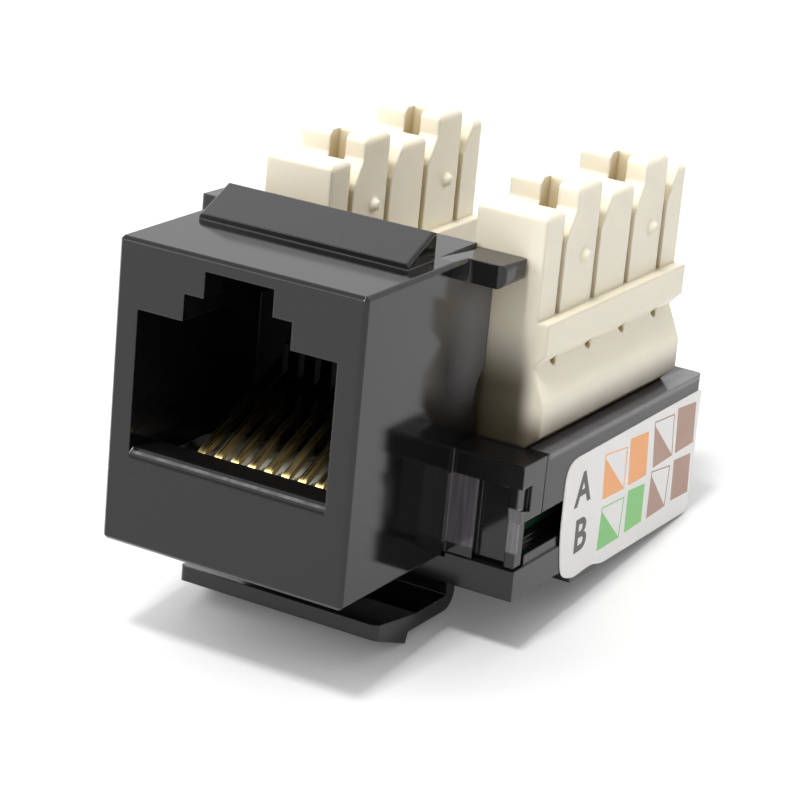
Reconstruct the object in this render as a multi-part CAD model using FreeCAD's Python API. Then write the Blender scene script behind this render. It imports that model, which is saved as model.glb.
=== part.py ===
import FreeCAD, Part
import math
import os

# A keystone jack: a snap-in modular socket with two insulation displacement wire blocks behind it.
# Millimetres. The plug goes in along +Y, +Z is up, and +X is the right side seen from the front.
# The origin is the middle of the front block's lower front edge.

# Front block
BLOCK_WIDTH = 14.5
BLOCK_HEIGHT = 16.2
BLOCK_DEPTH = 12.7
EDGE_BREAK = 0.2
REAR_WALL = 1.2
FLOOR_WALL = 1.05

# Plug port and its latch keyway
PORT_WIDTH = 11.76
PORT_FLOOR = 5.27
PORT_HEIGHT = 7.36
KEY_STEP_WIDTH = 6.34
KEY_STEP_HEIGHT = 1.42
KEY_NOTCH_WIDTH = 4.04
KEY_NOTCH_HEIGHT = 1.4
KEY_WALL = 1.6
KEY_POCKET_DEPTH = 6.5
KEY_POCKET_DROP = 0.3
SILL_DEPTH = 2.95
SILL_DROP = 0.42
SILL_LIP = 0.35
DOOR_CLEAR = 0.1

# Fixed catch on the top
CATCH_WIDTH = 12.4
CATCH_FRONT = 5.5
CATCH_DEPTH = 2.65
CATCH_HEIGHT = 1.5
CATCH_TOE = 0.33
CATCH_CROWN = 0.25
CATCH_CROWN_DROP = 0.1

# Stop wings beside the top
WING_REACH = 1.95
WING_THICKNESS = 1.3
WING_DEPTH = 2.7
WING_ROUND = 0.4
TOP_RELIEF = 0.18
TOP_RELIEF_EDGE = 1.15
TOP_RELIEF_LENGTH = 4.1

# Shoulders of the front housing
BASE_WIDTH = 19.76
BASE_SHIFT = 1.51
BASE_TOP = 5.96
SHOULDER_DEPTH = 2.45
SHOULDER_PAD_WIDTH = 1.6
SHOULDER_BAND = 1.33
PRONG_WIDTH = 0.7
PRONG_CORNER = 0.14
PRONG_RECESS = 0.5
SNAP_NOTCH_REACH = 0.2
SNAP_NOTCH_DEPTH = 1.1
SNAP_NOTCH_TOP = 4.7
SNAP_NOTCH_HEIGHT = 1.15
SNAP_NOTCH_FALL = 0.3
PRONG_TOE = 0.15
SIDE_RELIEF_HEIGHT = 3.9
SIDE_RELIEF_DEPTH = 0.9
SIDE_RELIEF_WALL = 0.97

# Circuit board
BOARD_THICKNESS = 1.6
BOARD_TOP = 2.75
BOARD_EDGE = 1.4
BOARD_SETBACK = 1.0
BOARD_TONGUE_FRONT = 3.2
FIT = 0.05

# How far a cutter passes a face, and how far a fused piece reaches into its carrier
OVERCUT = 0.1
ROOT = 0.5

# Rear frame
SEAM_GAP = 0.08
FRAME_DEPTH = 18.8

# Bottom cover
COVER_BOTTOM = -1.46
COVER_TOP = 0.2
COVER_RIM_TOP = 0.78
COVER_RIM_WIDTH = 1.0
COVER_LEDGE = 1.0
COVER_RIM_SETBACK = 1.2
COVER_RIM_INSET = 0.1
COVER_FOOT_DEPTH = 15.0
COVER_FOOT_HEIGHT = 1.0
COVER_FOOT_RAMP = 0.5

# Latch arm under the block
ARM_WIDTH = 12.3
ARM_THICKNESS = 0.85
ARM_LENGTH = 7.73
ARM_GAP = 2.0
ARM_LIFT = 0.55
ARM_LIFT_LENGTH = 4.1
ARM_HOOK_LENGTH = 3.2
ARM_HOOK_HEIGHT = 0.6
ARM_HOOK_SLOPE = 0.2
ARM_ROOT = 13.53
ARM_BEND = 1.0

# Contacts
CONTACT_COUNT = 8
CONTACT_PITCH = 1.016
CONTACT_WIDTH = 0.46
CONTACT_THICKNESS = 0.36
BEAM_LENGTH = 7.6
BEAM_RISE = 25.0
BEND_RADIUS = 0.55
SILL_CLEAR = 0.1
BEND_SPLIT = 105.0
BEND_GAP = 4.0
TAIL_INSET = 1.02
TAIL_FOOT = 0.1
TAIL_STAGGER = 1.1
CARRIER_SETBACK = 1.2
CARRIER_ROOF = 0.28
CARRIER_FRONT_CLEAR = 0.35
COMB_DEPTH = 1.7
COMB_HEIGHT = 4.0
COMB_RIB = 0.36

# Wire blocks
BLOCK_SPACING = 12.86
TOOTH_WIDTH = 4.04
WIRE_BLOCK_DEPTH = 16.15
LOW_TOOTH_TOP = 18.4
TALL_TOOTH_TOP = 19.35
SLOT_INSET = 2.135
SLOT_WIDTH = 0.5
SLOT_FLOOR = 12.75
LEDGE_REACH = 0.68
LEDGE_THICKNESS = 1.65
WAIST_HEIGHT = 4.4
WAIST_REACH = 0.02
BULGE_REACH = 0.82
BULGE_FALL = 1.85
FOOT_CHAMFER = 0.75
LEAD_BOTTOM = 16.6
LEAD_DEPTH = 0.9
CHANNEL_WIDTH = 1.0
CHANNEL_SHIFT = 0.3
CHANNEL_DEPTH = 0.9
CHANNEL_FLOOR = 16.0
TOOTH_ROUND = 0.4
TOOTH_BREAK = 0.25
BUMP_RADIUS = 0.42
BUMP_CROWN = 0.22
BUMP_REACH = 0.36
BUMP_HEIGHT = 15.45
BUMP_SHIFT = 0.5
DIMPLE_RADIUS = 0.28
DIMPLE_DEPTH = 0.5
TENON_WIDTH = 2.4
TENON_HEIGHT = 1.1
TENON_INSET = 1.2

# Displacement clips in the wire blocks
CLIP_THICKNESS = 0.35
CLIP_WIDTH = 2.0
CLIP_TOP = 16.6
CLIP_FOOT = 10.9
CLIP_SLIT = 0.3
CLIP_SLIT_DEPTH = 4.2
CLIP_POINT = 0.35
CLIP_TAIL_WIDTH = 0.8

# Wiring label
LABEL_THICKNESS = 0.08
LABEL_INSET = 2.62
LABEL_DROP = 0.96
LABEL_LIFT = 0.08
LABEL_CORNER = 1.2
LABEL_TOE = 1.9
LABEL_TOE_RISE = 0.95
LABEL_LEAN = 0.35

# Places worked out from the sizes
port_top = PORT_FLOOR + PORT_HEIGHT
port_rear = BLOCK_DEPTH - REAR_WALL
sill_rear_top = PORT_FLOOR - SILL_DROP
half_block = BLOCK_WIDTH / 2
base_right = BASE_SHIFT + BASE_WIDTH / 2
base_left = BASE_SHIFT - BASE_WIDTH / 2
half_port = PORT_WIDTH / 2
shoulder_front = BLOCK_DEPTH - SHOULDER_DEPTH
wing_front = BLOCK_DEPTH - WING_DEPTH
board_bottom = BOARD_TOP - BOARD_THICKNESS
slot_ceiling = BOARD_TOP + FIT
frame_front = BLOCK_DEPTH + SEAM_GAP
frame_rear = frame_front + FRAME_DEPTH
board_front = shoulder_front + BOARD_SETBACK
wire_block_front = frame_front
wire_block_rear = wire_block_front + WIRE_BLOCK_DEPTH
foot_bottom = COVER_BOTTOM - COVER_FOOT_HEIGHT
slot_pitch = (WIRE_BLOCK_DEPTH - 2 * SLOT_INSET) / 3
clip_places = [wire_block_front + SLOT_INSET + i * slot_pitch for i in range(4)]
contact_places = [(i - (CONTACT_COUNT - 1) / 2) * CONTACT_PITCH for i in range(CONTACT_COUNT)]

# The contact beams pass just behind the sill's rear edge and rise towards the rear
rise = math.radians(BEAM_RISE)
half_contact = CONTACT_THICKNESS / 2
bend_setback = BEND_RADIUS + half_contact + SILL_CLEAR
bend_y = SILL_DEPTH + bend_setback
bend_z = sill_rear_top - bend_setback * (1 - math.sin(rise)) / math.cos(rise)
tail_z = bend_z - BEND_RADIUS
carrier_top = tail_z + half_contact + CARRIER_ROOF
tail_rear_row = port_rear - TAIL_INSET
carrier_rear = tail_rear_row - TAIL_STAGGER - CARRIER_SETBACK


def box(x0, x1, y0, y1, z0, z1):
    return Part.makeBox(x1 - x0, y1 - y0, z1 - z0, FreeCAD.Vector(x0, y0, z0))


def extrude_x(points, x0, x1):
    corners = [FreeCAD.Vector(x0, y, z) for y, z in points]
    face = Part.Face(Part.makePolygon(corners + corners[:1]))
    return face.extrude(FreeCAD.Vector(x1 - x0, 0, 0))


def extrude_y(points, y0, y1):
    corners = [FreeCAD.Vector(x, y0, z) for x, z in points]
    face = Part.Face(Part.makePolygon(corners + corners[:1]))
    return face.extrude(FreeCAD.Vector(0, y1 - y0, 0))


def both_sides(shape):
    mirrored = shape.mirror(FreeCAD.Vector(0, 0, 0), FreeCAD.Vector(1, 0, 0))
    return [shape, mirrored]


def eight_sided(centre, across, up, radius):
    corner = radius / math.cos(math.pi / 8)
    points = []
    for i in range(9):
        angle = math.pi * (2 * i + 1) / 8
        points.append(centre + across * (corner * math.cos(angle)) + up * (corner * math.sin(angle)))
    return Part.makePolygon(points)


def edges_where(shape, test):
    found = []
    for edge in shape.Edges:
        if test(edge.BoundBox):
            found.append(edge)
    return found


def save(shape, node):
    shape.exportStep("parts/" + node + ".step")


# Front housing: block, port, catch, wings and shoulders in one moulding

def front_block():
    block = box(-half_block, half_block, 0, BLOCK_DEPTH, 0, BLOCK_HEIGHT)

    def is_outer(b):
        rear = b.YMin > BLOCK_DEPTH - 0.01
        return not rear
    return block.makeChamfer(EDGE_BREAK, edges_where(block, is_outer))


def port_cutters():
    step_top = port_top + KEY_STEP_HEIGHT
    notch_top = step_top + KEY_NOTCH_HEIGHT
    half_step = KEY_STEP_WIDTH / 2
    half_notch = KEY_NOTCH_WIDTH / 2
    main = box(-half_port, half_port, -OVERCUT, port_rear, PORT_FLOOR, port_top)
    pocket_rear = KEY_WALL + KEY_POCKET_DEPTH
    pocket_roof = notch_top - KEY_POCKET_DROP
    low = port_top - OVERCUT
    step = box(-half_step, half_step, -OVERCUT, pocket_rear, low, step_top)
    notch = box(-half_notch, half_notch, -OVERCUT, pocket_rear, low, notch_top)
    pocket = box(-half_step, half_step, KEY_WALL, pocket_rear, low, pocket_roof)
    well = box(-half_port, half_port, SILL_DEPTH, port_rear, FLOOR_WALL, port_top)
    above = PORT_FLOOR + ROOT
    sill_top = [(-SILL_LIP, above), (-SILL_LIP, PORT_FLOOR - 2 * SILL_LIP), (SILL_LIP, PORT_FLOOR),
                (SILL_DEPTH, sill_rear_top), (SILL_DEPTH, above)]
    sill = extrude_x(sill_top, -half_port, half_port)
    rear_door = box(-half_port, half_port, port_rear - OVERCUT, BLOCK_DEPTH + OVERCUT, board_bottom - FIT,
                    carrier_top + DOOR_CLEAR)
    return [main, step, notch, pocket, well, sill, rear_door]


def fixed_catch():
    rear = CATCH_FRONT + CATCH_DEPTH
    profile = [(CATCH_FRONT, BLOCK_HEIGHT - ROOT), (CATCH_FRONT, BLOCK_HEIGHT + CATCH_TOE),
               (rear - CATCH_CROWN, BLOCK_HEIGHT + CATCH_HEIGHT),
               (rear, BLOCK_HEIGHT + CATCH_HEIGHT - CATCH_CROWN_DROP),
               (rear, BLOCK_HEIGHT - ROOT)]
    catch = extrude_x(profile, -CATCH_WIDTH / 2, CATCH_WIDTH / 2)

    def is_end(b):
        sloping = b.YLength > CATCH_DEPTH / 2 and b.ZLength > CATCH_TOE
        return b.XLength < 0.01 and sloping
    return catch.makeFillet(EDGE_BREAK, edges_where(catch, is_end))


def stop_wing():
    outer = half_block + WING_REACH
    wing = box(half_block - ROOT, outer, wing_front, BLOCK_DEPTH, BLOCK_HEIGHT - WING_THICKNESS, BLOCK_HEIGHT)

    def is_tip(b):
        return b.XMin > outer - 0.01
    return wing.makeFillet(WING_ROUND, edges_where(wing, is_tip))


def top_relief():
    rear = BLOCK_DEPTH + OVERCUT
    inner = half_block - TOP_RELIEF_EDGE
    start = rear - TOP_RELIEF_LENGTH
    wedge = [(start, BLOCK_HEIGHT), (rear, BLOCK_HEIGHT - TOP_RELIEF), (rear, BLOCK_HEIGHT + OVERCUT),
             (start, BLOCK_HEIGHT + OVERCUT)]
    return extrude_x(wedge, inner, half_block + WING_REACH + OVERCUT)


def shoulder(outer):
    inner = half_block - ROOT
    body = box(inner, outer, shoulder_front, BLOCK_DEPTH, slot_ceiling, BASE_TOP)
    backing = box(inner, outer - PRONG_CORNER, shoulder_front + PRONG_TOE, board_front - FIT,
                  COVER_TOP + FIT, BASE_TOP)
    notch_bottom = SNAP_NOTCH_TOP - SNAP_NOTCH_HEIGHT
    notch = [(shoulder_front - OVERCUT, SNAP_NOTCH_TOP), (shoulder_front + SNAP_NOTCH_DEPTH, SNAP_NOTCH_TOP),
             (shoulder_front + SNAP_NOTCH_DEPTH, notch_bottom - SNAP_NOTCH_FALL),
             (shoulder_front - OVERCUT, notch_bottom)]
    toe = [(shoulder_front - OVERCUT, notch_bottom), (shoulder_front, notch_bottom),
           (shoulder_front + PRONG_TOE, slot_ceiling), (shoulder_front - OVERCUT, slot_ceiling)]
    cutters = [extrude_x(notch, outer - SNAP_NOTCH_REACH, outer + OVERCUT),
               extrude_x(toe, outer - PRONG_WIDTH, outer + OVERCUT)]
    return body.fuse(backing).cut(cutters)


def shoulder_pad():
    return box(half_block - ROOT, half_block + SHOULDER_PAD_WIDTH, shoulder_front, board_front - FIT,
               COVER_TOP + FIT, BASE_TOP)


def shoulder_recess():
    return box(half_block + SHOULDER_PAD_WIDTH, base_right - PRONG_WIDTH, shoulder_front - OVERCUT,
               shoulder_front + PRONG_RECESS, COVER_TOP, BASE_TOP - SHOULDER_BAND)


def side_relief():
    centre = BASE_TOP + SIDE_RELIEF_HEIGHT / 2
    arc_radius = (SIDE_RELIEF_HEIGHT ** 2 / 4 + SIDE_RELIEF_DEPTH ** 2) / (2 * SIDE_RELIEF_DEPTH)
    axis_y = BLOCK_DEPTH + arc_radius - SIDE_RELIEF_DEPTH
    start = FreeCAD.Vector(half_block - SIDE_RELIEF_WALL, axis_y, centre)
    return Part.makeCylinder(arc_radius, SIDE_RELIEF_WALL + OVERCUT, start, FreeCAD.Vector(1, 0, 0))


def board_slot():
    return box(base_left - OVERCUT, base_right + OVERCUT, board_front - FIT, BLOCK_DEPTH + OVERCUT,
               board_bottom - FIT, slot_ceiling)


def comb_ribs():
    ribs = []
    for i in range(CONTACT_COUNT - 1):
        middle = (contact_places[i] + contact_places[i + 1]) / 2
        ribs.append(box(middle - COMB_RIB / 2, middle + COMB_RIB / 2, port_rear - COMB_DEPTH,
                        port_rear + OVERCUT, carrier_top + DOOR_CLEAR, PORT_FLOOR + COMB_HEIGHT))
    return ribs


def make_jack_housing():
    body = front_block().fuse(both_sides(stop_wing())).cut(both_sides(top_relief()))
    left_shoulder = both_sides(shoulder(-base_left))[1]
    body = body.fuse([fixed_catch(), shoulder(base_right), shoulder_pad(), left_shoulder])
    cutters = port_cutters() + [board_slot(), shoulder_recess()]
    cutters += both_sides(side_relief())
    body = body.cut(cutters)
    return body.fuse(comb_ribs()).removeSplitter()


# Rear frame: the deck that the wire blocks stand on

def wire_block_centre(side):
    return BASE_SHIFT + side * BLOCK_SPACING / 2


def tenon(side, grow):
    middle = wire_block_centre(side)
    return box(middle - TENON_WIDTH / 2 - grow, middle + TENON_WIDTH / 2 + grow,
               wire_block_front + TENON_INSET - grow, wire_block_rear - TENON_INSET + grow,
               BASE_TOP - TENON_HEIGHT - grow, BASE_TOP + OVERCUT)


def clip_tail_slots(low, high):
    slots = []
    for side in (-1, 1):
        middle = wire_block_centre(side)
        for y in clip_places:
            slots.append(box(middle - CLIP_THICKNESS / 2 - FIT, middle + CLIP_THICKNESS / 2 + FIT,
                             y - CLIP_TAIL_WIDTH / 2 - FIT, y + CLIP_TAIL_WIDTH / 2 + FIT, low, high))
    return slots


def make_rear_frame():
    deck = box(base_left, base_right, frame_front, frame_rear, slot_ceiling, BASE_TOP)

    def is_rear_corner(b):
        return b.YMin > frame_rear - 0.01 and b.ZLength > 1
    deck = deck.makeFillet(EDGE_BREAK * 2, edges_where(deck, is_rear_corner))
    cutters = clip_tail_slots(slot_ceiling - OVERCUT, BASE_TOP)
    cutters += [tenon(-1, FIT), tenon(1, FIT)]
    return deck.cut(cutters)


# Bottom cover: closes the frame under the board and carries the latch arm

def cover_cheek(outer):
    return box(half_block + FIT, outer, shoulder_front, BLOCK_DEPTH + FIT, -FIT - OVERCUT, COVER_TOP)


def cover_rim(outer):
    rim_inner = outer - COVER_RIM_WIDTH
    rim = box(rim_inner, outer - COVER_RIM_INSET, shoulder_front + COVER_RIM_SETBACK,
              frame_rear - COVER_RIM_INSET, COVER_TOP - OVERCUT, COVER_RIM_TOP)
    ledge = box(rim_inner - COVER_LEDGE, rim_inner + OVERCUT, BLOCK_DEPTH + FIT, frame_rear - BOARD_EDGE,
                COVER_TOP - OVERCUT, board_bottom)
    return rim.fuse(ledge)


def make_bottom_cover():
    plate = box(base_left, base_right, shoulder_front, frame_rear, COVER_BOTTOM, -FIT)
    seat = box(base_left, base_right, BLOCK_DEPTH + FIT, frame_rear, -FIT - OVERCUT, COVER_TOP)
    foot_front = frame_rear - COVER_FOOT_DEPTH
    foot_top = COVER_BOTTOM + OVERCUT
    foot = extrude_x([(foot_front, foot_top), (foot_front + COVER_FOOT_RAMP, foot_bottom),
                      (frame_rear - COVER_FOOT_RAMP, foot_bottom), (frame_rear, foot_top)],
                     base_left, base_right)
    right = [cover_cheek(base_right), cover_rim(base_right)]
    left = [both_sides(cover_cheek(-base_left))[1], both_sides(cover_rim(-base_left))[1]]
    return plate.fuse([seat, foot] + right + left).removeSplitter()


# Latch arm: the springing snap under the block, bent up at its root to the cover

def make_latch_arm():
    half = ARM_WIDTH / 2
    root_radius = ARM_THICKNESS / 2
    root_z = COVER_BOTTOM - FIT - root_radius
    top = COVER_BOTTOM - ARM_GAP
    bottom = top - ARM_THICKNESS
    front = ARM_ROOT - ARM_LENGTH
    hook_rear = front + ARM_HOOK_LENGTH
    lift_end = front + ARM_LIFT_LENGTH
    inner = ARM_ROOT - root_radius
    outer = ARM_ROOT + root_radius
    profile = [(front, top + ARM_LIFT), (lift_end, top), (inner, top), (inner, root_z), (outer, root_z),
               (outer, bottom), (hook_rear + ARM_HOOK_SLOPE, bottom), (hook_rear, bottom - ARM_HOOK_HEIGHT),
               (front, top + ARM_LIFT - ARM_THICKNESS)]
    arm = extrude_x(profile, -half, half)

    def is_outer_bend(b):
        return b.XLength > 1 and abs(b.YMin - outer) < 0.01 and abs(b.ZMin - bottom) < 0.01
    arm = arm.makeFillet(ARM_BEND, edges_where(arm, is_outer_bend))

    def is_front_corner(b):
        return abs(b.YMax - front) < 0.01 and b.XLength < 0.01 and b.ZLength > 0.1
    arm = arm.makeFillet(EDGE_BREAK * 2, edges_where(arm, is_front_corner))
    barrel = Part.makeCylinder(root_radius, ARM_WIDTH, FreeCAD.Vector(-half, ARM_ROOT, root_z),
                               FreeCAD.Vector(1, 0, 0))
    return arm.fuse(barrel).removeSplitter()


# Contacts: a springing beam above the bend, and the tail that runs back and down through the board

def bend_point(degrees, radius):
    angle = math.radians(degrees)
    return FreeCAD.Vector(0, bend_y + radius * math.cos(angle), bend_z + radius * math.sin(angle))


def bend_arc(first, last, radius):
    points = [bend_point(angle, radius) for angle in (first, (first + last) / 2, last)]
    return Part.Arc(*points).toShape()


def joined(edges):
    """Closes a chain of edges with straight lines between them."""
    chain = []
    for edge, following in zip(edges, edges[1:] + edges[:1]):
        chain.append(edge)
        gap_start = edge.lastVertex(True).Point
        gap_end = following.firstVertex(True).Point
        if gap_start.distanceToPoint(gap_end) > 1e-6:
            chain.append(Part.LineSegment(gap_start, gap_end).toShape())
    return Part.Wire(chain)


def strip(outline, x):
    solid = Part.Face(outline).extrude(FreeCAD.Vector(CONTACT_WIDTH, 0, 0))
    return solid.translated(FreeCAD.Vector(x - CONTACT_WIDTH / 2, 0, 0))


def beam_outline():
    top = 90 + BEAM_RISE
    low = top + BEND_SPLIT
    along = FreeCAD.Vector(0, math.cos(rise), math.sin(rise)) * BEAM_LENGTH
    upper = bend_point(top, BEND_RADIUS + half_contact)
    lower = bend_point(top, BEND_RADIUS - half_contact)
    tip = Part.LineSegment(lower + along, upper + along).toShape()
    outer = bend_arc(top, low, BEND_RADIUS + half_contact)
    inner = bend_arc(low, top, BEND_RADIUS - half_contact)
    return joined([tip, outer, inner])


def tail_row(index):
    return tail_rear_row - TAIL_STAGGER * (1 - index % 2)


def tail_outline(index):
    split = 90 + BEAM_RISE + BEND_SPLIT + BEND_GAP
    leg = tail_row(index)
    foot = board_bottom - TAIL_FOOT
    turn = CONTACT_THICKNESS
    corner = FreeCAD.Vector(0, leg - half_contact, tail_z - half_contact)
    diagonal = turn * math.sin(math.pi / 4)
    outer = bend_arc(split, 270, BEND_RADIUS + half_contact)
    inner = bend_arc(270, split, BEND_RADIUS - half_contact)
    turn_low = corner + FreeCAD.Vector(0, turn, 0)
    turn_middle = corner + FreeCAD.Vector(0, diagonal, diagonal)
    turn_high = corner + FreeCAD.Vector(0, 0, turn)
    leg_front = Part.LineSegment(corner, FreeCAD.Vector(0, leg - half_contact, foot)).toShape()
    leg_rear = Part.LineSegment(FreeCAD.Vector(0, leg + half_contact, foot), turn_low).toShape()
    outer_turn = Part.Arc(turn_low, turn_middle, turn_high).toShape()
    return joined([outer, leg_front, leg_rear, outer_turn, inner])


def tail_holes(low, high):
    holes = []
    for index, x in enumerate(contact_places):
        half_width = CONTACT_WIDTH / 2 + FIT
        half_length = half_contact + FIT
        y = tail_row(index)
        holes.append(box(x - half_width, x + half_width, y - half_length, y + half_length, low, high))
    return holes


def make_contact_tails():
    return Part.makeCompound([strip(tail_outline(i), x) for i, x in enumerate(contact_places)])


# Contact carrier: the light plastic bed on the board, with a tunnel for each tail

def make_contact_carrier():
    reach = half_port - FIT * 2
    front = BOARD_TONGUE_FRONT
    low = tail_z - half_contact - FIT
    high = tail_z + half_contact + FIT
    bed = box(-reach, reach, front, carrier_rear, BOARD_TOP, carrier_top)
    bend_room = box(-reach - OVERCUT, reach + OVERCUT, front - OVERCUT, bend_y + CARRIER_FRONT_CLEAR, low,
                    carrier_top + OVERCUT)
    tunnels = []
    for x in contact_places:
        half = CONTACT_WIDTH / 2 + FIT
        tunnels.append(box(x - half, x + half, front - OVERCUT, carrier_rear + OVERCUT, low, high))
    return bed.cut([bend_room] + tunnels)


# Circuit board

def make_circuit_board():
    tongue_half = half_port - FIT * 2
    wide = box(base_left + BOARD_EDGE, base_right - BOARD_EDGE, board_front, frame_rear - BOARD_EDGE,
               board_bottom, BOARD_TOP)
    tongue = box(-tongue_half, tongue_half, BOARD_TONGUE_FRONT, board_front + OVERCUT, board_bottom,
                 BOARD_TOP)
    board = wide.fuse(tongue).removeSplitter()
    low = board_bottom - OVERCUT
    high = BOARD_TOP + OVERCUT
    return board.cut(tail_holes(low, high) + clip_tail_slots(low, high))


# Wire blocks: five teeth on a ledge, over a waisted lower body

def tooth(y0, y1, top, middle, lead):
    half = TOOTH_WIDTH / 2
    root = SLOT_FLOOR - ROOT
    post = box(middle - half, middle + half, y0, y1, root, top)

    def is_side_top(b):
        return b.ZMin > top - 0.01 and b.XLength < 0.01
    post = post.makeFillet(TOOTH_ROUND, edges_where(post, is_side_top))
    lead_y = y0 + lead
    outline = [(y0, root), (y0, LEAD_BOTTOM), (lead_y, LOW_TOOTH_TOP - TOOTH_BREAK)]
    if top > LOW_TOOTH_TOP:
        outline.append((lead_y, top - TOOTH_BREAK))
    outline += [(lead_y + TOOTH_BREAK, top), (y1 - TOOTH_BREAK, top), (y1, top - TOOTH_BREAK), (y1, root)]
    return post.common(extrude_x(outline, middle - half, middle + half))


def bump(middle, direction, y):
    root = FreeCAD.Vector(middle + direction * TOOTH_WIDTH / 2, y, BUMP_HEIGHT)
    crown = root + FreeCAD.Vector(direction * BUMP_REACH, 0, 0)
    across = FreeCAD.Vector(0, 1, 0)
    up = FreeCAD.Vector(0, 0, 1)
    outlines = [eight_sided(root, across, up, BUMP_RADIUS), eight_sided(crown, across, up, BUMP_CROWN)]
    return Part.makeLoft(outlines, True, True)


def dimple(middle, direction, y):
    reach = TOOTH_WIDTH / 2 + WAIST_REACH
    start = FreeCAD.Vector(middle + direction * (reach - DIMPLE_DEPTH), y, BASE_TOP + WAIST_HEIGHT)
    outline = eight_sided(start, FreeCAD.Vector(0, 1, 0), FreeCAD.Vector(0, 0, 1), DIMPLE_RADIUS)
    return Part.Face(outline).extrude(FreeCAD.Vector(direction * (DIMPLE_DEPTH + LEDGE_REACH), 0, 0))


def make_wire_block(side):
    middle = wire_block_centre(side)
    half = TOOTH_WIDTH / 2
    ledge_bottom = SLOT_FLOOR - LEDGE_THICKNESS
    waist_z = BASE_TOP + WAIST_HEIGHT
    bulge_z = waist_z - BULGE_FALL
    outline = [(half + WAIST_REACH, BASE_TOP), (half + BULGE_REACH, BASE_TOP + FOOT_CHAMFER),
               (half + BULGE_REACH, bulge_z), (half + WAIST_REACH, waist_z),
               (half + LEDGE_REACH, ledge_bottom), (half + LEDGE_REACH, SLOT_FLOOR)]
    right = [(middle + x, z) for x, z in outline]
    left = [(middle - x, z) for x, z in reversed(outline)]
    body = extrude_y(right + left, wire_block_front, wire_block_rear)

    fronts = [wire_block_front] + [y + SLOT_WIDTH / 2 for y in clip_places]
    rears = [y - SLOT_WIDTH / 2 for y in clip_places] + [wire_block_rear]
    pieces = [tenon(side, 0)]
    cutters = []
    for i, (y0, y1) in enumerate(zip(fronts, rears)):
        tall = i % 2 == 1
        top = TALL_TOOTH_TOP if tall else LOW_TOOTH_TOP
        pieces.append(tooth(y0, y1, top, middle, LEAD_DEPTH if i > 0 else 0))
        if tall:
            pieces += [bump(middle, direction, (y0 + y1) / 2 + BUMP_SHIFT) for direction in (-1, 1)]
            channel = middle + CHANNEL_SHIFT
            cutters.append(box(channel - CHANNEL_WIDTH / 2, channel + CHANNEL_WIDTH / 2, y0 - OVERCUT,
                               y0 + LEAD_DEPTH + CHANNEL_DEPTH, CHANNEL_FLOOR, top + OVERCUT))
    for y in clip_places:
        pocket_half = CLIP_THICKNESS / 2 + FIT
        pocket_reach = CLIP_WIDTH / 2 + FIT
        cutters.append(box(middle - pocket_half, middle + pocket_half, y - pocket_reach, y + pocket_reach,
                           CLIP_FOOT - FIT, CLIP_TOP + FIT))
        cutters += [dimple(middle, direction, y) for direction in (-1, 1)]
    cutters += clip_tail_slots(BASE_TOP - TENON_HEIGHT - OVERCUT, CLIP_FOOT)
    return body.fuse(pieces).cut(cutters)


# Displacement clips: forked blades whose slits grip the wires

def make_clip(side, y):
    middle = wire_block_centre(side)
    half = CLIP_WIDTH / 2
    slit = CLIP_SLIT / 2
    slit_floor = CLIP_TOP - CLIP_SLIT_DEPTH
    tail = CLIP_TAIL_WIDTH / 2
    low = board_bottom - TAIL_FOOT
    side_outline = [(tail, low), (tail, CLIP_FOOT), (half, CLIP_FOOT), (half, CLIP_TOP - CLIP_POINT),
                    (half - CLIP_POINT, CLIP_TOP), (slit + CLIP_POINT, CLIP_TOP),
                    (slit, CLIP_TOP - 2 * CLIP_POINT), (slit, slit_floor)]
    right = [(y + a, z) for a, z in side_outline]
    left = [(y - a, z) for a, z in reversed(side_outline)]
    return extrude_x(right + left, middle - CLIP_THICKNESS / 2, middle + CLIP_THICKNESS / 2)


# Wiring label on the right side

def make_wiring_label():
    front = frame_front + LABEL_INSET
    top = BASE_TOP - LABEL_DROP
    bottom = foot_bottom + LABEL_LIFT
    outline = [(front, top - LABEL_CORNER), (front + 2 * LABEL_CORNER, top), (frame_rear, top),
               (frame_rear, bottom), (front + LABEL_TOE, bottom),
               (front + LABEL_LEAN, bottom + LABEL_TOE_RISE)]
    return extrude_x(outline, base_right, base_right + LABEL_THICKNESS)


os.makedirs("parts", exist_ok=True)
save(make_jack_housing(), "jack_housing")
save(make_rear_frame(), "rear_frame")
save(make_bottom_cover(), "bottom_cover")
save(make_latch_arm(), "latch_arm")
save(make_contact_carrier(), "contact_carrier")
save(make_circuit_board(), "circuit_board")
save(make_contact_tails(), "contact_tails")
for number, place in enumerate(contact_places, start=1):
    save(strip(beam_outline(), place), "contact_" + str(number))
for name, side in (("left", -1), ("right", 1)):
    save(make_wire_block(side), "wire_block_" + name)
    for number, place in enumerate(clip_places, start=1):
        save(make_clip(side, place), "wire_clip_" + name + "_" + str(number))
save(make_wiring_label(), "wiring_label")
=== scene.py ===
import bmesh
import bpy
import math
from mathutils import Matrix, Vector


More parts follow.
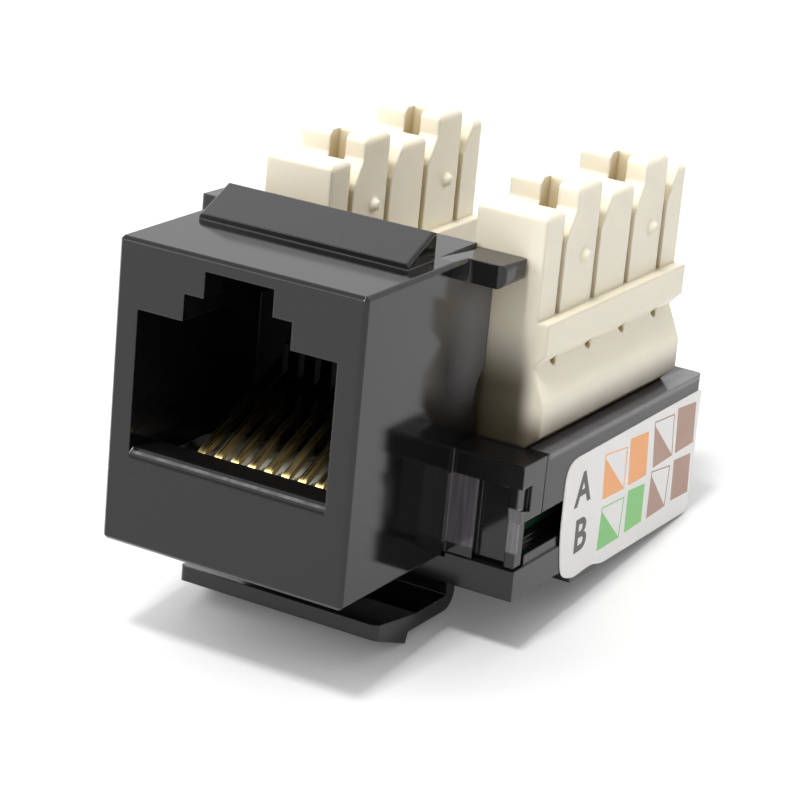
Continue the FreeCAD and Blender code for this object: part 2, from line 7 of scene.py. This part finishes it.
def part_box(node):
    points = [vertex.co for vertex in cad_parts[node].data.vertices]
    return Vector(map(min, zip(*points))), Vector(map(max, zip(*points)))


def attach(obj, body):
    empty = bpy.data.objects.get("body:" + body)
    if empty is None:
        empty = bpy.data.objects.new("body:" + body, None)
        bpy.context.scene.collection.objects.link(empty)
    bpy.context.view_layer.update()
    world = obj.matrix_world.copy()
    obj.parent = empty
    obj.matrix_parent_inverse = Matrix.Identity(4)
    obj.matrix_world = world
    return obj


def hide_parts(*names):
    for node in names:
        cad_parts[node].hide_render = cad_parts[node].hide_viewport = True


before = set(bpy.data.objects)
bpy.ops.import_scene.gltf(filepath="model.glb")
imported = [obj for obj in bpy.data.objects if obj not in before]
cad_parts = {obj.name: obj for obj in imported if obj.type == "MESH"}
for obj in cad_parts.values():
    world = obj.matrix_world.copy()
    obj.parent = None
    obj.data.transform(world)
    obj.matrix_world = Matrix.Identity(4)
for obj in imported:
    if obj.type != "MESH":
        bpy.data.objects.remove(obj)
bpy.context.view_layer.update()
MM = 0.001

# Places read from the imported model

label_low, label_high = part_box("wiring_label")
bed_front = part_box("contact_carrier")[0].y / MM


# Node helpers

def new_material(name):
    mat = bpy.data.materials.new(name)
    mat.use_nodes = True
    tree = mat.node_tree
    return mat, tree, tree.nodes["Principled BSDF"]


def add(tree, kind, inputs=None, **settings):
    """Adds a node. An input that is a socket is linked, and any other is set."""
    node = tree.nodes.new(kind)
    for key, value in settings.items():
        setattr(node, key, value)
    for key, value in (inputs or {}).items():
        if isinstance(value, bpy.types.NodeSocket):
            tree.links.new(value, node.inputs[key])
        else:
            node.inputs[key].default_value = value
    return node


def place(tree):
    """The point in the object's own space, in metres."""
    return add(tree, "ShaderNodeTexCoord").outputs["Object"]


def noise(tree, scale, detail=2.0, vector=None, roughness=0.5):
    node = add(tree, "ShaderNodeTexNoise", {"Vector": vector or place(tree), "Scale": scale, "Detail": detail,
                                            "Roughness": roughness})
    return node.outputs["Fac"]


def streaks(tree, x, y, z):
    """A noise with a scale for each axis: it is drawn out along the axis with the lowest."""
    stretched = add(tree, "ShaderNodeMapping", {"Vector": place(tree), "Scale": (x, y, z)})
    return noise(tree, 1.0, detail=3, vector=stretched.outputs["Vector"])


def remap(tree, value, low, high, to_low, to_high):
    node = add(tree, "ShaderNodeMapRange", {"Value": value, "From Min": low, "From Max": high,
                                            "To Min": to_low, "To Max": to_high})
    return node.outputs["Result"]


NOISE_LOW = 0.3
NOISE_HIGH = 0.7


def spread(tree, cloud, to_low, to_high):
    """Takes the range that most of a noise lies in to another range."""
    return remap(tree, cloud, NOISE_LOW, NOISE_HIGH, to_low, to_high)


def ramp(tree, value, start, end):
    """Rises smoothly from 0 at start to 1 at end."""
    node = add(tree, "ShaderNodeMapRange", {"Value": value, "From Min": start, "From Max": end},
               interpolation_type="SMOOTHSTEP")
    return node.outputs["Result"]


def combine(tree, operation, first, second):
    return add(tree, "ShaderNodeMath", {0: first, 1: second}, operation=operation).outputs[0]


def times(tree, first, second):
    return combine(tree, "MULTIPLY", first, second)


def larger(tree, first, second):
    return combine(tree, "MAXIMUM", first, second)


def blend_colours(tree, factor, first, second):
    node = add(tree, "ShaderNodeMix", data_type="RGBA")
    tree.links.new(factor, node.inputs["Factor"])
    node.inputs[6].default_value = (*first, 1)
    node.inputs[7].default_value = (*second, 1)
    return node.outputs[2]


def soft_edges(tree, radius):
    return add(tree, "ShaderNodeBevel", {"Radius": radius}, samples=6).outputs["Normal"]


def bump(tree, height, strength, distance, normal=None):
    inputs = {"Height": height, "Strength": strength, "Distance": distance}
    if normal is not None:
        inputs["Normal"] = normal
    return add(tree, "ShaderNodeBump", inputs).outputs["Normal"]


def link_surface(tree, bsdf, colour, roughness, normal):
    tree.links.new(colour, bsdf.inputs["Base Color"])
    tree.links.new(roughness, bsdf.inputs["Roughness"])
    tree.links.new(normal, bsdf.inputs["Normal"])


# Marks: rub marks, painted light and shade, and dull places inside a box that is given in millimetres

MATT_DEPTH = 0.85
MATT_ROUGHNESS = 0.55


def inside(tree, low, high, blur):
    """A mask that is 1 inside the box and fades to 0 over the blur outside it."""
    corners = add(tree, "ShaderNodeSeparateXYZ", {0: place(tree)})
    mask = 1.0
    for axis, soft in enumerate(blur if isinstance(blur, tuple) else (blur, blur, blur)):
        here = corners.outputs[axis]
        mask = times(tree, mask, ramp(tree, here, (low[axis] - soft) * MM, low[axis] * MM))
        mask = times(tree, mask, ramp(tree, here, (high[axis] + soft) * MM, high[axis] * MM))
    return mask


def mark(mat, area, cloud, colour, least=0.55):
    """Lays a colour over a material in an area, with at least this cover where the cloud is thin."""
    tree = mat.node_tree
    base = tree.nodes["Principled BSDF"].inputs["Base Color"]
    cover = times(tree, inside(tree, *area), spread(tree, cloud, least, 1))
    mixed = add(tree, "ShaderNodeMix", {"Factor": cover, 6: base.links[0].from_socket}, data_type="RGBA")
    mixed.inputs[7].default_value = (*colour, 1)
    tree.links.new(mixed.outputs[2], base)


def matt(mat, area, strength=1.0):
    """Takes the gloss off an area: less is mirrored, and what is left is blurred."""
    tree = mat.node_tree
    metallic = tree.nodes["Principled BSDF"].inputs["Metallic"]
    roughness = tree.nodes["Principled BSDF"].inputs["Roughness"]
    mask = times(tree, inside(tree, *area), strength)
    dark = times(tree, mask, MATT_DEPTH)
    if metallic.is_linked:
        dark = larger(tree, metallic.links[0].from_socket, dark)
    tree.links.new(dark, metallic)
    inputs = {"Factor": mask, "A": roughness.links[0].from_socket, "B": MATT_ROUGHNESS}
    tree.links.new(add(tree, "ShaderNodeMix", inputs, data_type="FLOAT").outputs["Result"], roughness)


# Kinds of material

FINE_RELIEF = 0.02 * MM
HAIR_RELIEF = 0.01 * MM

BLACK_LOW = (0.0045, 0.0042, 0.0045)
BLACK_HIGH = (0.0075, 0.007, 0.0073)
BLACK_EDGE = 0.12 * MM
BLACK_IOR = 1.47

# Painted shade on ivory: how far it looks for what shuts it in, and the open share of its surroundings from
# shut in to open
AIR_REACH = 5 * MM
SHUT_IN = 0.12
OPEN_AIR = 0.55
SUBSURFACE_SHARE = 0.25
SUBSURFACE_REACH = 0.7 * MM
SUBSURFACE_TINT = (1.0, 0.7, 0.35)


def black_plastic(name, roughness, grain):
    mat, tree, bsdf = new_material(name)
    cloud = noise(tree, scale=900, detail=3)
    smear = noise(tree, scale=420, detail=4, roughness=0.65)
    fine = noise(tree, scale=11000)
    link_surface(tree, bsdf,
                 colour=blend_colours(tree, cloud, BLACK_LOW, BLACK_HIGH),
                 roughness=spread(tree, smear, to_low=roughness * 0.8, to_high=roughness * 1.25),
                 normal=bump(tree, fine, grain, FINE_RELIEF, normal=soft_edges(tree, BLACK_EDGE)))
    bsdf.inputs["IOR"].default_value = BLACK_IOR
    return mat


def ivory_plastic(name, painted_shade_colour, low, high, roughness, edge):
    """Moulded ivory with painted shade: a deeper colour where it is shut in. Light goes a little way into it.
    """
    mat, tree, bsdf = new_material(name)
    cloud = noise(tree, scale=260, detail=3)
    smear = noise(tree, scale=700, detail=3)
    fine = noise(tree, scale=7000)
    near = add(tree, "ShaderNodeAmbientOcclusion", {"Distance": AIR_REACH}, samples=5).outputs["AO"]
    clean = blend_colours(tree, cloud, low, high)
    shade = add(tree, "ShaderNodeMix", {"Factor": remap(tree, near, SHUT_IN, OPEN_AIR, 0, 1), 7: clean},
                data_type="RGBA")
    shade.inputs[6].default_value = (*painted_shade_colour, 1)
    link_surface(tree, bsdf,
                 colour=shade.outputs[2],
                 roughness=spread(tree, smear, to_low=roughness * 0.85, to_high=roughness * 1.15),
                 normal=bump(tree, fine, strength=0.12, distance=FINE_RELIEF, normal=soft_edges(tree, edge)))
    bsdf.inputs["Subsurface Weight"].default_value = SUBSURFACE_SHARE
    bsdf.inputs["Subsurface Radius"].default_value = SUBSURFACE_TINT
    bsdf.inputs["Subsurface Scale"].default_value = SUBSURFACE_REACH
    return mat


def metal(name, low, high, grain, along):
    """Metal with fine lines from drawing or stamping. The scales for each axis say which way they run."""
    mat, tree, bsdf = new_material(name)
    drawn = streaks(tree, *along)
    link_surface(tree, bsdf,
                 colour=blend_colours(tree, drawn, low, high),
                 roughness=spread(tree, drawn, to_low=0.21, to_high=0.39),
                 normal=bump(tree, drawn, grain, HAIR_RELIEF))
    bsdf.inputs["Metallic"].default_value = 1.0
    return mat


def printed_film(name, low, high):
    mat, tree, bsdf = new_material(name)
    cloud = noise(tree, scale=500, detail=3)
    fibre = noise(tree, scale=9000)
    link_surface(tree, bsdf,
                 colour=blend_colours(tree, cloud, low, high),
                 roughness=spread(tree, fibre, to_low=0.45, to_high=0.6),
                 normal=bump(tree, fibre, strength=0.1, distance=HAIR_RELIEF))
    return mat


# Areas of the pieces that have a mark: lowest corner, highest corner and blur, in millimetres

SHOULDER_PAD = ((7.2, 9.9, 0.9), (8.84, 10.3, 4.6), 0.12)
SHOULDER_POST = ((10.66, 10.2, 1.2), (11.3, 10.6, 3.5), 0.15)
SHOULDER_BAND = ((7.6, 10, 4.8), (11.5, 10.2, 5.75), 0.15)
# Painted light on the side near its rear edge
SIDE_REAR_PAINTED_LIGHT = ((7.2, 11.2, 10.6), (7.3, 12.7, 13.2), (0.2, 3.8, 3.6))
PORT_PAINTED_SHADE = ((-5.8, 0.36, 2.7), (5.8, 12, 15), 0.1)
SILL_EDGE = ((-5.8, -0.1, 4.82), (5.8, 0.03, 4.92), (0.1, 0.02, 0.16))
SILL_PAINTED_HIGHLIGHT = ((-5.85, 0.1, 5.03), (5.85, 0.2, 5.11), 0.05)
DECK_EDGE_PAINTED_LIGHT = ((10.3, 13.2, 5.8), (11.5, 31.6, 6.1), 0.3)
BLOCK_FOOT_PAINTED_SHADE = ((-20, 0, 5.8), (20, 40, 6.5), 1.9)
BLOCK_GAP_PAINTED_SHADE = ((7.0, 12.6, 5.9), (9.2, 13.0, 8.8), (1.2, 0.4, 4.0))
BEAM_TOPS_PAINTED_SHADE = ((-9, 0, 7.4), (9, 12, 12), 1.9)

# The contact bed has painted shade: it is lit at its front only, and its left end lies in the dark behind a
# narrow edge
BED_LIT = 3.3
BED_FADE = 1.3
BED_SIDE = 3.95
BED_EDGE = 0.25
END_FADE = 0.1
BED_BACK_PAINTED_SHADE = ((-9, bed_front + BED_LIT + BED_FADE, -9), (9, 40, 40), BED_FADE)
BED_END_PAINTED_SHADE = ((-9, bed_front + BED_EDGE, -9), (-BED_SIDE - END_FADE, 40, 40), END_FADE)


# Materials, a function each

def make_housing_black():
    mat = black_plastic("housing_black", roughness=0.08, grain=0.10)
    tree = mat.node_tree
    rubbed = streaks(tree, x=5200, y=900, z=260)
    painted_light_cloud = noise(tree, scale=700)
    highlight_specks = noise(tree, scale=1600, detail=3)
    mark(mat, SHOULDER_PAD, rubbed, colour=(0.085, 0.078, 0.085))
    mark(mat, SHOULDER_POST, rubbed, colour=(0.16, 0.15, 0.16))
    # Painted light: a lighter colour near the side's rear edge fills in the dark mirror image there
    mark(mat, SIDE_REAR_PAINTED_LIGHT, painted_light_cloud, colour=(0.12, 0.116, 0.12), least=0.95)
    # Painted shade in the port: a set colour, with the gloss taken off below, keeps the deep port dark
    mark(mat, PORT_PAINTED_SHADE, painted_light_cloud, colour=(0.018, 0.017, 0.018))
    # Painted highlight: a bright speckled line along the sill's front lip
    mark(mat, SILL_PAINTED_HIGHLIGHT, highlight_specks, colour=(0.17, 0.165, 0.16), least=0.3)
    matt(mat, PORT_PAINTED_SHADE)
    matt(mat, SHOULDER_BAND)
    matt(mat, SILL_EDGE, strength=0.6)
    return mat


def make_cover_black():
    mat = black_plastic("cover_black", roughness=0.14, grain=0.12)
    # Painted light: a lighter strip along the deck's outer edge
    mark(mat, DECK_EDGE_PAINTED_LIGHT, noise(mat.node_tree, scale=700), colour=(0.15, 0.143, 0.15), least=0.85)
    return mat


def make_block_ivory():
    mat = ivory_plastic("block_ivory", painted_shade_colour=(0.60, 0.49, 0.27), low=(0.85, 0.79, 0.645),
                        high=(0.89, 0.835, 0.70), roughness=0.42, edge=0.28 * MM)
    cloud = noise(mat.node_tree, scale=300)
    # Painted shade: the blocks darken towards their foot on the deck
    mark(mat, BLOCK_FOOT_PAINTED_SHADE, cloud, colour=(0.13, 0.105, 0.065), least=0.9)
    # Painted shade: the right block's front darkens beside the housing's rear edge and towards the bottom
    mark(mat, BLOCK_GAP_PAINTED_SHADE, cloud, colour=(0.05, 0.04, 0.022), least=0.95)
    return mat


def make_carrier_ivory():
    mat = ivory_plastic("carrier_ivory", painted_shade_colour=(0.6, 0.6, 0.56), low=(0.74, 0.73, 0.66),
                        high=(0.8, 0.79, 0.72), roughness=0.45, edge=0.08 * MM)
    cloud = noise(mat.node_tree, scale=700)
    # Painted shade: the bed goes dark behind its lit front, and at its left end
    mark(mat, BED_BACK_PAINTED_SHADE, cloud, colour=(0.012, 0.014, 0.012))
    mark(mat, BED_END_PAINTED_SHADE, cloud, colour=(0.006, 0.006, 0.006))
    return mat


def make_contact_gold():
    mat = metal("contact_gold", low=(0.62, 0.45, 0.16), high=(0.86, 0.68, 0.34), grain=0.03,
                along=(9000, 300, 300))
    # Painted shade: the contacts darken where they rise high into the port
    mark(mat, BEAM_TOPS_PAINTED_SHADE, noise(mat.node_tree, scale=900), colour=(0.07, 0.058, 0.03), least=0.9)
    return mat


def make_clip_metal():
    return metal("clip_metal", low=(0.66, 0.64, 0.6), high=(0.8, 0.78, 0.74), grain=0.12,
                 along=(9000, 9000, 700))


def make_board_green():
    mat, tree, bsdf = new_material("board_green")
    weave = noise(tree, scale=5200)
    link_surface(tree, bsdf,
                 colour=blend_colours(tree, weave, (0.008, 0.045, 0.02), (0.014, 0.07, 0.032)),
                 roughness=spread(tree, weave, to_low=0.28, to_high=0.42),
                 normal=bump(tree, weave, strength=0.2, distance=FINE_RELIEF))
    return mat


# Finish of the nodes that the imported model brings

def paint(nodes, mat):
    for node in nodes:
        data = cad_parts[node].data
        data.materials.clear()
        data.materials.append(mat)


def numbered(start):
    return [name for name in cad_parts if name.startswith(start) and name[-1].isdigit()]


housing_black = make_housing_black()
cover_black = make_cover_black()
block_ivory = make_block_ivory()
carrier_ivory = make_carrier_ivory()
contact_gold = make_contact_gold()
clip_metal = make_clip_metal()
board_green = make_board_green()
film_white = printed_film("film_white", (0.90, 0.885, 0.87), (0.93, 0.915, 0.90))
ink_orange = printed_film("ink_orange", (1.0, 0.44, 0.17), (1.0, 0.49, 0.21))
ink_green = printed_film("ink_green", (0.24, 0.62, 0.21), (0.31, 0.68, 0.26))
ink_brown = printed_film("ink_brown", (0.45, 0.28, 0.215), (0.51, 0.34, 0.27))
ink_grey = printed_film("ink_grey", (0.10, 0.09, 0.09), (0.14, 0.125, 0.125))

paint(["jack_housing"], housing_black)
paint(["rear_frame", "bottom_cover", "latch_arm"], cover_black)
paint(["contact_carrier"], carrier_ivory)
paint(["circuit_board"], board_green)
paint(["contact_tails"] + numbered("contact_"), contact_gold)
paint(numbered("wire_clip_"), clip_metal)
paint(["wire_block_left", "wire_block_right"], block_ivory)


# Wiring label: a thin film with its print raised by the ink's thickness

INK = 0.012 * MM
film_face = label_high.x - INK


def label_piece(name, data, mat, turn=Matrix.Identity(4)):
    """An object that rides on the jack and takes its finish from the label."""
    piece = bpy.data.objects.new(name, data)
    bpy.context.scene.collection.objects.link(piece)
    piece.matrix_world = turn
    data.materials.append(mat)
    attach(piece, "jack")
    return piece


def plate_on_side(name, points, x0, x1, mat):
    """A plate that stands out along X, with its outline given in millimetres of Y and Z."""
    bm = bmesh.new()
    verts = [bm.verts.new((x0, y * MM, z * MM)) for y, z in points]
    face = bm.faces.new(verts)
    grown = bmesh.ops.extrude_face_region(bm, geom=[face])
    moved = [v for v in grown["geom"] if isinstance(v, bmesh.types.BMVert)]
    bmesh.ops.translate(bm, vec=(x1 - x0, 0, 0), verts=moved)
    bmesh.ops.recalc_face_normals(bm, faces=bm.faces)
    mesh = bpy.data.meshes.new(name)
    bm.to_mesh(mesh)
    bm.free()
    return label_piece(name, mesh, mat)


# A rounded corner takes no more than this share of either edge
CORNER_SHARE = 0.49
CORNER_STEPS = 6


def rounded(points, radii):
    """An outline with each corner replaced by a curve that starts and ends a radius away from it."""
    outline = []
    count = len(points)
    for i, (corner, radius) in enumerate(zip(points, radii)):
        here = Vector(corner)
        before = Vector(points[i - 1]) - here
        after = Vector(points[(i + 1) % count]) - here
        reach = min(radius, before.length * CORNER_SHARE, after.length * CORNER_SHARE)
        start = here + before.normalized() * reach
        end = here + after.normalized() * reach
        for k in range(CORNER_STEPS + 1):
            t = k / CORNER_STEPS
            outline.append(tuple(start * (1 - t) ** 2 + here * 2 * t * (1 - t) + end * t ** 2))
    return outline


# Outline of the film in millimetres of Y and Z, and the radius at each corner
FILM_OUTLINE = [(15.16, 4.87), (31.58, 5.02), (31.58, -2.38), (20.6, -2.38), (19.5, -2.08), (18.6, -2.1),
                (17.2, -2.22), (15.72, -1.75), (15.2, 0.6)]
FILM_CORNERS = [1.35, 0.2, 0.2, 0.7, 0.5, 0.4, 0.6, 0.9, 1.2]
film_points = rounded(FILM_OUTLINE, FILM_CORNERS)
film = plate_on_side("label_film", film_points, label_low.x, film_face, film_white)
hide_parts("wiring_label")


def printed(name, points, mat):
    return plate_on_side(name, points, film_face, label_high.x, mat)


# Each pair of fields is a striped wire's and a plain wire's
# Corners in millimetres of Y and Z: top left, top right, bottom right, bottom left
FIELDS = {
    "a_striped_1": (ink_orange, [(19.66, 4.2), (22.4, 3.94), (22.52, 1.46), (19.88, 1.54)]),
    "a_plain_1": (ink_orange, [(22.68, 4.31), (24.94, 4.16), (25.24, 1.53), (23.0, 1.5)]),
    "a_striped_2": (ink_brown, [(25.62, 4.54), (28.18, 4.38), (28.5, 1.83), (26.04, 1.72)]),
    "a_plain_2": (ink_brown, [(28.59, 4.59), (31.0, 4.4), (31.22, 1.9), (28.87, 1.85)]),
    "b_striped_1": (ink_green, [(19.96, 1.06), (22.7, 0.95), (22.55, -1.42), (19.88, -1.44)]),
    "b_plain_1": (ink_green, [(23.12, 1.17), (25.2, 1.03), (25.32, -1.25), (23.2, -1.33)]),
    "b_striped_2": (ink_brown, [(25.95, 1.54), (28.41, 1.26), (28.3, -1.18), (25.98, -1.29)]),
    "b_plain_2": (ink_brown, [(28.87, 1.42), (31.06, 1.28), (31.3, -1.14), (29.05, -1.07)]),
}
LINE_WIDTH = 0.075
TRIANGLE_TOP = 0.1


def quad_point(corners, u, v):
    """The point at a share u from left to right and v from top to bottom of a field."""
    top = Vector(corners[0]).lerp(Vector(corners[1]), u)
    bottom = Vector(corners[3]).lerp(Vector(corners[2]), u)
    return tuple(top.lerp(bottom, v))


def striped_field(name, corners, mat):
    """A filled triangle below the diagonal, inside an outline of four lines."""
    width = (Vector(corners[1]) - Vector(corners[0])).length
    s = LINE_WIDTH / width
    lower = [quad_point(corners, *p) for p in ((s, TRIANGLE_TOP), (1 - s, 1 - s), (s, 1 - s))]
    printed(name + "_triangle", lower, mat)
    edges = [((0, 0), (1, 0), (1, s), (0, s)), ((1 - s, s), (1, s), (1, 1 - s), (1 - s, 1 - s)),
             ((0, 1 - s), (1, 1 - s), (1, 1), (0, 1)), ((0, s), (s, s), (s, 1 - s), (0, 1 - s))]
    for number, edge in enumerate(edges, start=1):
        printed(f"{name}_line_{number}", [quad_point(corners, *p) for p in edge], mat)


for name, (ink, corners) in FIELDS.items():
    draw = striped_field if "striped" in name else printed
    draw("field_" + name, corners, ink)


# The font's size over the height of its capitals
FONT_SIZE = 1.37
LETTER_SWELL = 0.06 * MM
LETTER_LEAN = math.radians(2)
# Turns the font's own axes to the label's: letters run along Y and stand along Z
ACROSS = Matrix(((0, 0, 1), (1, 0, 0), (0, 1, 0))).to_4x4()


def letter(text, y, z, height):
    name = "letter_" + text.lower()
    curve = bpy.data.curves.new(name, "FONT")
    curve.body = text
    curve.size = height * FONT_SIZE * MM
    curve.extrude = INK / 2
    curve.offset = LETTER_SWELL
    lean = Matrix.Rotation(LETTER_LEAN, 4, "X")
    label_piece(name, curve, ink_grey,
                Matrix.Translation((film_face + INK / 2, y * MM, z * MM)) @ lean @ ACROSS)


letter("A", y=16.52, z=2.02, height=1.9)
letter("B", y=16.85, z=-0.72, height=1.95)


# Stage: white floor that the jack stands on, nose up, and plain studio light

CATCH_FOOT = (8.95, -4.92)
REAR_FOOT = (31.3, -2.47)
floor_tilt = math.atan2(REAR_FOOT[1] - CATCH_FOOT[1], REAR_FOOT[0] - CATCH_FOOT[0])
FLOOR_SIZE = 2.4
FLOOR_COLOUR = (0.74, 0.74, 0.74)
WHITE = (1, 1, 1, 1)

# The floor's own glow shows directly and in mirrors and lights nothing. It is stronger far from the jack
NEAR_FLOOR = 0.16
FAR_FLOOR = 0.6
NEAR_GLOW = 0.09
FAR_GLOW = 0.65

# The world's light from the horizon and from above
DOME_LOW = 0.12
DOME_HIGH = 1.0

# Lamps: place, the point that they face, side and power
AIM = (0, 0.015, 0.005)
LAMPS = {
    "key": ((0, -0.21, 0.45), (0, 0.015, 0), 0.07, 1.45),
    "left_soft": ((-0.38, -0.3, 0.3), AIM, 0.35, 1.6),
    "overhead": ((-0.12, 0.22, 0.42), AIM, 0.5, 0.8),
}

CAMERA_PLACE = (0.074227, -0.117044, 0.056613)
CAMERA_AZIMUTH = math.radians(28.95)
CAMERA_ELEVATION = math.radians(18.58)
CAMERA_ROLL = math.radians(5.316)
SENSOR_WIDTH = 36
LENS = 133.52
CLIP_NEAR = 0.005
CLIP_FAR = 20


def seen_directly(tree, path):
    """1 for what the camera or a mirror sees, and 0 for what only lights the object."""
    return larger(tree, path.outputs["Is Camera Ray"], path.outputs["Is Glossy Ray"])


def make_floor_white():
    mat, tree, bsdf = new_material("floor_white")
    tree.nodes.remove(bsdf)
    path = add(tree, "ShaderNodeLightPath")
    seen = larger(tree, seen_directly(tree, path), path.outputs["Is Transmission Ray"])
    distance = add(tree, "ShaderNodeVectorMath", {0: place(tree)}, operation="LENGTH").outputs["Value"]
    glow = remap(tree, distance, NEAR_FLOOR, FAR_FLOOR, NEAR_GLOW, FAR_GLOW)
    matte = add(tree, "ShaderNodeBsdfDiffuse", {"Color": (*FLOOR_COLOUR, 1)})
    shine = add(tree, "ShaderNodeEmission", {"Color": WHITE, "Strength": times(tree, seen, glow)})
    both = add(tree, "ShaderNodeAddShader", {0: matte.outputs[0], 1: shine.outputs[0]})
    tree.links.new(both.outputs[0], tree.nodes["Material Output"].inputs["Surface"])
    return mat


def make_floor():
    bm = bmesh.new()
    bmesh.ops.create_grid(bm, x_segments=4, y_segments=4, size=FLOOR_SIZE / 2)
    mesh = bpy.data.meshes.new("floor")
    bm.to_mesh(mesh)
    bm.free()
    floor = bpy.data.objects.new("floor", mesh)
    bpy.context.scene.collection.objects.link(floor)
    mesh.materials.append(make_floor_white())
    floor.location = (0, CATCH_FOOT[0] * MM, CATCH_FOOT[1] * MM)
    floor.rotation_euler = (floor_tilt, 0, 0)


def make_world():
    world = bpy.data.worlds.new("studio")
    bpy.context.scene.world = world
    world.use_nodes = True
    tree = world.node_tree
    seen = seen_directly(tree, add(tree, "ShaderNodeLightPath"))
    height = add(tree, "ShaderNodeSeparateXYZ", {0: add(tree, "ShaderNodeTexCoord").outputs["Generated"]})
    dome = remap(tree, height.outputs["Z"], 0, 1, DOME_LOW, DOME_HIGH)
    strength = add(tree, "ShaderNodeMapRange", {"Value": seen, "To Min": dome, "To Max": 1.0})
    background = tree.nodes["Background"]
    background.inputs["Color"].default_value = WHITE
    tree.links.new(strength.outputs["Result"], background.inputs["Strength"])


def make_lamp(name, position, target, side, power):
    light = bpy.data.lights.new(name, "AREA")
    light.shape = "RECTANGLE"
    light.size = side
    light.size_y = side
    light.energy = power
    lamp = bpy.data.objects.new(name, light)
    bpy.context.scene.collection.objects.link(lamp)
    lamp.location = position
    lamp.rotation_euler = (Vector(target) - Vector(position)).to_track_quat("-Z", "Y").to_euler()


def make_camera():
    camera = bpy.data.cameras.new("camera")
    camera.sensor_width = SENSOR_WIDTH
    camera.lens = LENS
    camera.clip_start = CLIP_NEAR
    camera.clip_end = CLIP_FAR
    viewer = bpy.data.objects.new("camera", camera)
    bpy.context.scene.collection.objects.link(viewer)
    turn = Matrix.Rotation(CAMERA_AZIMUTH, 4, "Z") @ Matrix.Rotation(math.pi / 2 - CAMERA_ELEVATION, 4, "X")
    viewer.matrix_world = Matrix.Translation(CAMERA_PLACE) @ turn @ Matrix.Rotation(CAMERA_ROLL, 4, "Z")
    bpy.context.scene.camera = viewer


make_floor()
make_world()
for name, settings in LAMPS.items():
    make_lamp(name, *settings)
make_camera()
bpy.context.scene.view_settings.view_transform = "Standard"
